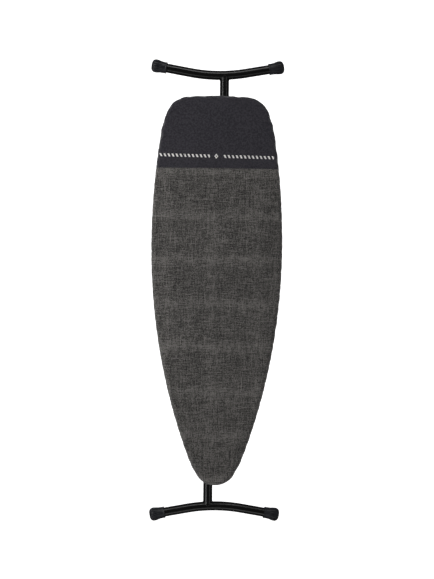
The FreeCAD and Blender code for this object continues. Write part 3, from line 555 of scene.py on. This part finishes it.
def cover_rings():
    """Rings of the fitted cover, from the hem, up the side, over the rolled edge, to the middle."""
    gather = ripple(150, 3, 0.8)
    pucker = ripple(62, 5)
    tail_corners = np.exp(-((EDGE_POINTS[:, 1] - 585) / 75) ** 2)
    nose_tip = np.exp(-((EDGE_POINTS[:, 1] + 640) / 60) ** 2)
    pull = 0.35 + 2.4 * (tail_corners + 0.7 * nose_tip)
    rings = []
    lip = ((-22.0, 51.2, 1.0), (-18, 50.6, 1.0), (-13, 50.4, 0.9), (-8, 50.5, 0.8), (-3.5, 51.0, 0.6))
    for grow, height, share in lip:
        rings.append(edge_ring(grow + gather * share * 0.3, height + (gather * 0.55 + 0.5) * share))
    for grow, height, share in ((-0.5, 52.6, 0.8), (1.6, 55.4, 0.9), (2.4, 59.0, 0.7)):
        rings.append(edge_ring(grow + gather * share * 0.45 * pull, height))
    steps = 11
    for step in range(steps + 1):
        angle = math.radians(90 * step / steps)
        fade = math.cos(angle)
        bulge = pucker * 0.55 * fade * pull
        grow = ROLL * math.cos(angle) - 12 + bulge
        rings.append(edge_ring(grow, TOP_Z - ROLL + ROLL * math.sin(angle)))
    edge = rings[-1]
    spine = spine_point(edge[:, :2])
    inner = 34
    for step in range(1, inner + 1):
        share = (step / inner) ** 1.15
        plan = edge[:, :2] * (1 - share) + spine * share
        wave = np.sin(plan[:, 0] / 31 + plan[:, 1] / 57) * np.sin(plan[:, 1] / 83)
        sag = 0.22 * wave * min(1, share * 6)
        rings.append(np.column_stack([plan, TOP_Z - 0.25 + sag]))
    return rings


def cut_at_seam(piece, keep_tail):
    """Keeps the cloth on one side of the slightly tilted cross seam."""
    work = bmesh.new()
    work.from_mesh(piece.data)
    place = Vector((0, SEAM_Y * MM, 0))
    normal = Vector((-SEAM_TILT, 1, 0)).normalized()
    everything = work.verts[:] + work.edges[:] + work.faces[:]
    bmesh.ops.bisect_plane(work, geom=everything, plane_co=place, plane_no=normal,
                           clear_inner=keep_tail, clear_outer=not keep_tail)
    work.to_mesh(piece.data)
    work.free()


def coordinates(mesh):
    """A mesh's points as an array."""
    flat = np.empty(len(mesh.vertices) * 3)
    mesh.vertices.foreach_get("co", flat)
    return flat.reshape(-1, 3)


def settle(mesh):
    """Cloth simulation of the band between the flat top and the gathered lip, which pulls itself tight."""
    start = coordinates(mesh)
    held = np.flatnonzero((start[:, 2] > (TOP_Z - 0.9) * MM) | (start[:, 2] < LIP_TOP_Z * MM))
    shell = bpy.data.objects.new("shell", mesh)
    bpy.context.scene.collection.objects.link(shell)
    shell.vertex_groups.new(name="held").add([int(i) for i in held], 1.0, "REPLACE")
    cloth = shell.modifiers.new("cloth", "CLOTH")
    cloth.settings.quality = 5
    cloth.settings.mass = 0.25
    cloth.settings.vertex_group_mass = "held"
    cloth.settings.tension_stiffness = 12
    cloth.settings.bending_stiffness = 0.4
    cloth.settings.shrink_min = -0.015
    cloth.settings.use_pressure = True
    cloth.settings.uniform_pressure_force = 4
    cloth.settings.effector_weights.gravity = 0
    cloth.point_cache.frame_end = SETTLE_FRAMES
    for step in range(1, SETTLE_FRAMES + 1):
        bpy.context.scene.frame_set(step)
    shown = shell.evaluated_get(bpy.context.evaluated_depsgraph_get())
    moved = coordinates(shown.data) - start
    reach = np.linalg.norm(moved, axis=1, keepdims=True)
    moved *= np.minimum(1, SETTLE_CAP * MM / np.maximum(reach, 1e-9))
    shell.modifiers.clear()
    mesh.vertices.foreach_set("co", (start + moved).ravel())
    bpy.data.objects.remove(shell)
    bpy.context.scene.frame_set(1)


def cover():
    """The two cloths of the cover."""
    rings = cover_rings()
    shell = plain_mesh("cover_shell", np.concatenate(rings), ring_faces(len(rings), EDGE_COUNT), 0.05)
    settle(shell)
    for name, finish, slot, tail, cut in (
        ("cover_cloth_denim", "denim", "denim_cloth", False, DENIM_CUT),
        ("cover_cloth_heat", "heat", "heat_cloth", True, HEAT_CUT),
    ):
        piece = place_piece(name, shell.copy(), finish, "board")
        cut_at_seam(piece, tail)
        thicken(piece, CLOTH)
        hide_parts("cover_heat_zone" if tail else "cover_denim")


def layer(name, finish, node, profile):
    """A padded sheet whose edge follows a profile of (grow, height) pairs, closed above and below."""
    rings = [edge_ring(grow, height) for grow, height in profile]
    top, bottom = rings[-1], rings[0]
    for step in range(1, 13):
        share = step / 12
        plan = top[:, :2] * (1 - share) + spine_point(top[:, :2]) * share
        rings.append(np.column_stack([plan, top[:, 2]]))
    under = []
    for step in range(12, 0, -1):
        share = step / 12
        plan = bottom[:, :2] * (1 - share) + spine_point(bottom[:, :2]) * share
        wave = 0.12 * np.sin(plan[:, 0] / 23) * np.sin(plan[:, 1] / 37) * min(1, share * 4)
        under.append(np.column_stack([plan, bottom[:, 2] + 0.12 + wave]))
    rings = under + rings
    faces = ring_faces(len(rings), EDGE_COUNT)
    piece = make_piece(name, np.concatenate(rings), faces, finish, "board", merge=0.05)
    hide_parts(node)


def underlays():
    """Felt and foam, pulled down a little over the rim by the cover."""
    felt = [(-3.5, FELT_Z + 0.2), (-2.0, FELT_Z + 0.4), (-2.4, FELT_Z + 1.8), (-4.0, FOAM_Z - 0.2),
            (-6, FOAM_Z - 0.1)]
    foam = [(-7, FOAM_Z + 0.05), (-5.0, FOAM_Z + 0.3), (-6.0, FOAM_Z + 1.5), (-9.0, FOAM_Z + 2.7),
            (-13, FOAM_Z + 3.5), (-20, FOAM_Z + 3.6)]
    layer("felt_sheet", "felt", "felt_pad", felt)
    layer("foam_sheet", "foam", "foam_pad", foam)


def hem():
    """Gathered binding with the elastic inside, along the lip's inner edge."""
    fold = ripple(300, 9)
    rings = []
    for step in range(10):
        angle = 2 * math.pi * step / 10
        swell = 1 + 0.18 * fold
        grow = -24.4 + 2.4 * math.cos(angle) * swell
        rings.append(edge_ring(grow, HEM_Z + 1.25 * math.sin(angle) * swell))
    faces = ring_faces(len(rings), EDGE_COUNT, True)
    piece = make_piece("cover_hem_binding", np.concatenate(rings), faces, "hem", "board")
    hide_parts("cover_hem")


# ---------------------------------------------------------------- repeated things by nodes

class Builder:
    """A geometry node tree with named inputs."""

    def __init__(self, name, inputs):
        self.tree = bpy.data.node_groups.new(name, "GeometryNodeTree")
        face = self.tree.interface
        face.new_socket(name="Geometry", in_out="INPUT", socket_type="NodeSocketGeometry")
        self.keys = {}
        for label, value in inputs.items():
            socket = face.new_socket(name=label, in_out="INPUT", socket_type="NodeSocketFloat")
            socket.default_value = value
            self.keys[label] = socket.identifier
        face.new_socket(name="Geometry", in_out="OUTPUT", socket_type="NodeSocketGeometry")
        self.start = self.tree.nodes.new("NodeGroupInput")
        self.end = self.tree.nodes.new("NodeGroupOutput")

    def add(self, kind, settings=None, values=None):
        """Adds a node and links or sets its named sockets."""
        node = self.tree.nodes.new(kind)
        for key, value in (settings or {}).items():
            setattr(node, key, value)
        for key, value in (values or {}).items():
            if isinstance(value, bpy.types.NodeSocket):
                self.tree.links.new(value, node.inputs[key])
            else:
                node.inputs[key].default_value = value
        return node

    def close(self, geometry, material):
        """Ends the tree with real geometry in one material."""
        real = self.add("GeometryNodeRealizeInstances", values={"Geometry": geometry})
        paint = {"Geometry": real.outputs[0], "Material": material}
        painted = self.add("GeometryNodeSetMaterial", values=paint)
        self.tree.links.new(painted.outputs[0], self.end.inputs[0])


def run_tree(name, builder, points, edges, sizes, finish, body, smooth=True):
    """Runs a node tree on a set of points and keeps the result as a plain piece."""
    mesh = bpy.data.meshes.new(name)
    mesh.from_pydata([tuple(p) for p in np.asarray(points) * MM], edges, [])
    piece = bpy.data.objects.new(name, mesh)
    bpy.context.scene.collection.objects.link(piece)
    modifier = piece.modifiers.new("build", "NODES")
    modifier.node_group = builder.tree
    for label, value in sizes.items():
        modifier[builder.keys[label]] = value
    bake_modifiers(piece)
    if not piece.data.materials:
        piece.data.materials.append(FINISHES[finish])
    piece.data.polygons.foreach_set("use_smooth", [smooth] * len(piece.data.polygons))
    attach(piece, body)
    return piece


def stitch_tree():
    """Short thread capsules spaced along a line."""
    sizes = {"pitch": 0.0032, "stitch": 0.0023, "thread": 0.0003}
    build = Builder("stitch_row", sizes)
    inputs = build.start.outputs
    line = build.add("GeometryNodeMeshToCurve", values={"Mesh": inputs["Geometry"]})
    places = build.add("GeometryNodeCurveToPoints", {"mode": "LENGTH"},
                       {"Curve": line.outputs[0], "Length": inputs["pitch"]})
    capsule = build.add("GeometryNodeMeshCylinder", {"fill_type": "TRIANGLE_FAN"},
                        {"Vertices": 6, "Radius": inputs["thread"], "Depth": inputs["stitch"]})
    copies = build.add("GeometryNodeInstanceOnPoints", values={
        "Points": places.outputs["Points"], "Instance": capsule.outputs[0],
        "Rotation": places.outputs["Rotation"]})
    build.close(copies.outputs[0], FINISHES["thread"])
    return build, sizes


def stitches():
    """Two rows beside the cross seam and one round the hem."""
    build, sizes = stitch_tree()
    for name, offset in (("seam_stitches_upper", 2.2), ("seam_stitches_lower", -3.4)):
        xs = np.linspace(-196, 196, 60)
        ys = SEAM_Y + offset + xs * SEAM_TILT
        points = np.column_stack([xs, ys, np.full(len(xs), TOP_Z + 0.05)])
        edges = [(i, i + 1) for i in range(len(xs) - 1)]
        run_tree(name, build, points, edges, sizes, "thread", "board")
    points = edge_ring(-17.5, HEM_STITCH_Z)
    edges = [(i, (i + 1) % EDGE_COUNT) for i in range(EDGE_COUNT)]
    wide = dict(sizes, pitch=0.0042, stitch=0.003)
    run_tree("hem_stitches", build, points, edges, wide, "thread", "board")


def half_width(y, grow):
    """Half the deck's width at a station, moved outwards by grow."""
    ring = edge_ring(grow, 0)
    right = ring[ring[:, 0] > 0]
    order = np.argsort(right[:, 1])
    return np.interp(y, right[order, 1], right[order, 0], left=-1, right=-1)


def lattice_tree():
    """Diamond strands of expanded metal on a field of points."""
    sizes = {"half_length": 0.0095, "half_width": 0.0045, "strand": 0.0015}
    build = Builder("expanded_metal", sizes)
    inputs = build.start.outputs
    ring = build.add("GeometryNodeCurvePrimitiveCircle", values={"Resolution": 4, "Radius": 1.0})
    shape = build.add("ShaderNodeCombineXYZ", values={
        "X": inputs["half_length"], "Y": inputs["half_width"], "Z": 1.0})
    drawn = build.add("GeometryNodeTransform", values={
        "Geometry": ring.outputs[0], "Scale": shape.outputs[0]})
    section = build.add("GeometryNodeCurvePrimitiveQuadrilateral", values={
        "Width": inputs["strand"], "Height": 0.0012})
    strand = build.add("GeometryNodeCurveToMesh", values={
        "Curve": drawn.outputs[0], "Profile Curve": section.outputs[0]})
    copies = build.add("GeometryNodeInstanceOnPoints", values={
        "Points": inputs["Geometry"], "Instance": strand.outputs[0]})
    build.close(copies.outputs[0], FINISHES["deck"])
    return build, sizes


def deck_panel():
    """Expanded-metal sheet with a plain border welded to the rim tube."""
    build, sizes = lattice_tree()
    step_x, step_y = 2 * sizes["half_length"] / MM, sizes["half_width"] / MM
    points = []
    for row, y in enumerate(np.arange(-LENGTH / 2, LENGTH / 2, step_y)):
        reach = half_width(y, -17)
        if reach < step_x:
            continue
        shift = step_x / 2 * (row % 2)
        count = int((reach - shift) / step_x)
        xs = np.arange(-count - 1, count + 1) * step_x + shift
        points += [(x, y, DECK_Z + 0.6) for x in xs if abs(x) + step_x / 2 < reach]
    lattice = run_tree("expanded_metal_sheet", build, points, [], sizes, "deck", "board", False)
    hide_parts("mesh_panel")
    rings = [edge_ring(g, z) for g, z in (
        (-1, DECK_Z + 0.1), (-1, DECK_Z + 1.1), (-26, DECK_Z + 1.1), (-26, DECK_Z + 0.1))]
    make_piece("deck_border", np.concatenate(rings), ring_faces(4, EDGE_COUNT, True), "deck", "board",
               smooth=False)


# ---------------------------------------------------------------- feet

def cap_frame(foot, side):
    """Origin at a cap's mouth, with the outward, floorward and upward directions."""
    slope = math.radians(ARCH_ANGLE)
    along = (TAIL_FOOT_END if foot > 0 else NOSE_FOOT_END) - CAP_BORE
    x = side * (ARCH_RADIUS * math.sin(slope) + along * math.cos(slope))
    y = foot * (FOOT_REACH + ARCH_RADIUS * (1 - math.cos(slope)) + along * math.sin(slope))
    out = np.array([side * math.cos(slope), foot * math.sin(slope), 0])
    floor = np.array([-side * math.sin(slope), foot * math.cos(slope), 0])
    return np.array([x, y, LEG_Z]), out, floor


def cap_profile():
    """(distance from the mouth, radius, shift towards the floor, flute depth) along a cap."""
    return [
        (1.2, 16.15, 0, 0), (0.3, 16.6, 0, 0), (0.0, 17.6, 0, 0), (0.0, 19.1, 0, 0), (0.5, 19.8, 0, 0),
        (1.6, 20.1, 0, 0), (3.4, 20.05, 0, 0), (4.4, 19.75, 0, 0), (5.0, 19.3, 0, 0), (6.4, 19.2, 0, 0),
        (10, 19.45, 0, 0), (15, 19.75, 0, 0), (20, 20.25, 0.1, 0.3), (24, 20.95, 0.2, 1.5),
        (27, 21.6, 0.3, 2.4), (30, 22.25, 0.4, 2.9), (33, 22.7, 0.5, 3.1), (36, 22.95, 0.5, 3.2),
        (39, 23.0, 0.5, 3.2), (42, 22.75, 0.5, 3.0), (45, 21.9, 0.5, 2.5), (47.4, 20.6, 0.5, 1.8),
        (49.4, 18.9, 0.5, 1.1), (51.2, 16.6, 0.5, 0.5), (52.7, 13.6, 0.5, 0), (53.6, 10.0, 0.5, 0),
        (54, 6.0, 0.5, 0), (54, 2.0, 0.5, 0),
    ]


def foot_cap(name, foot, side):
    """Rubber cap with a beaded mouth, a waist and a fluted bulb set towards the floor."""
    origin, out, floor = cap_frame(foot, side)
    up = np.array([0, 0, 1.0])
    count, flutes = 216, 18
    rings = []
    for along, radius, shift, depth in cap_profile():
        ring = []
        for index in range(count):
            turn = 2 * math.pi * index / count
            wave = max(0.0, math.cos(turn * flutes)) ** 0.5
            reach = radius - depth * wave
            level = floor * (shift + reach * math.cos(turn)) + up * reach * math.sin(turn)
            ring.append(origin + out * along + level)
        rings.append(ring)
    points = np.concatenate(rings)
    faces = ring_faces(len(rings), count)
    last = (len(rings) - 1) * count
    faces.append(tuple(range(last, last + count)))
    faces.append(tuple(reversed(range(count))))
    return make_piece(name, points, faces, "rubber", "nose_leg" if foot < 0 else "tail_leg")


def foot_caps():
    """All four caps."""
    for place, foot in (("nose", -1), ("tail", 1)):
        for word, side in (("left", -1), ("right", 1)):
            piece = foot_cap(f"{place}_cap_{word}", foot, side)
            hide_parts(f"{place}_foot_cap_{word}")


def weld_bead(name, foot):
    """Rippled weld where a leg tube meets its foot bar."""
    count, around = 96, 8
    rings = []
    for step in range(around):
        turn = 2 * math.pi * step / around
        ring = []
        for index in range(count):
            angle = 2 * math.pi * index / count
            bead = 1.9 + 0.28 * math.sin(angle * 26)
            lean = math.sqrt(max(0, TUBE_R ** 2 - (TUBE_R * math.sin(angle)) ** 2))
            reach = TUBE_R + bead * math.cos(turn) * 0.75
            x = foot * LEG_X + reach * math.cos(angle)
            z = LEG_Z + reach * math.sin(angle)
            sagitta = ARCH_RADIUS - math.sqrt(ARCH_RADIUS ** 2 - x ** 2)
            y = foot * (FOOT_REACH + sagitta - lean - bead * (0.25 + 0.75 * math.sin(turn)))
            ring.append((x, y, z))
        rings.append(ring)
    make_piece(name, np.concatenate(rings), ring_faces(around, count, True), "tube",
               "nose_leg" if foot < 0 else "tail_leg")


# ---------------------------------------------------------------- stage

def area_light(name, place, aim, size, power):
    """A soft box pointed at a place."""
    lamp = bpy.data.lights.new(name, "AREA")
    lamp.shape = "RECTANGLE"
    lamp.size, lamp.size_y = size
    lamp.energy = power
    holder = bpy.data.objects.new(name, lamp)
    holder.location = place
    holder.rotation_euler = (Vector(aim) - Vector(place)).to_track_quat("-Z", "Y").to_euler()
    bpy.context.scene.collection.objects.link(holder)


def stage():
    """Plain white floor and soft light."""
    mesh = bpy.data.meshes.new("floor")
    turns = ((-1, -1), (1, -1), (1, 1), (-1, 1))
    corners = [(x * FLOOR_REACH, y * FLOOR_REACH, FLOOR_Z) for x, y in turns]
    mesh.from_pydata(corners, [], [(0, 1, 2, 3)])
    floor = bpy.data.objects.new("floor", mesh)
    bpy.context.scene.collection.objects.link(floor)
    paper = bpy.data.materials.new("white_floor")
    paper.use_nodes = True
    shader = paper.node_tree.nodes["Principled BSDF"]
    shader.inputs["Base Color"].default_value = (0.9, 0.9, 0.9, 1)
    shader.inputs["Roughness"].default_value = 0.9
    shader.inputs["Emission Color"].default_value = (1, 1, 1, 1)
    shader.inputs["Emission Strength"].default_value = 0.9
    mesh.materials.append(paper)
    floor.visible_glossy = False
    world = bpy.data.worlds.new("studio")
    world.use_nodes = True
    world.node_tree.nodes["Background"].inputs[0].default_value = (1, 1, 1, 1)
    world.node_tree.nodes["Background"].inputs[1].default_value = 0.11
    bpy.context.scene.world = world
    area_light("left_strip", (-1.1, 0.1, 1.1), (0, 0.1, 0), (3.0, 0.28), 19.5)
    area_light("right_strip", (1.9, 0, 2.1), (0, 0, 0), (3.0, 0.3), 7)
    area_light("tail_strip", (0, 3.2, 2.0), (0, 0.4, 0), (2.6, 0.8), 30)
    area_light("nose_strip", (0, -3.2, 2.2), (0, -0.4, 0), (2.6, 0.7), 14)
    bpy.context.scene.view_settings.view_transform = "Standard"


def camera():
    """High above the board, a little to the left."""
    lens = bpy.data.cameras.new("camera")
    lens.lens = 79.2
    lens.sensor_width = 36
    eye = bpy.data.objects.new("camera", lens)
    eye.location = (-0.172, -0.021, 4.5)
    pitch, yaw, roll = (math.radians(turn) for turn in (0.31, -2.24, 0.49))
    turned = Matrix.Rotation(pitch, 3, "X") @ Matrix.Rotation(yaw, 3, "Y") @ Matrix.Rotation(roll, 3, "Z")
    eye.rotation_euler = turned.to_euler()
    bpy.context.scene.collection.objects.link(eye)
    bpy.context.scene.camera = eye


dress_carried_nodes()
cover()
underlays()
hem()
deck_panel()
stitches()
foot_caps()
weld_bead("nose_weld", -1)
weld_bead("tail_weld", 1)
stage()
camera()
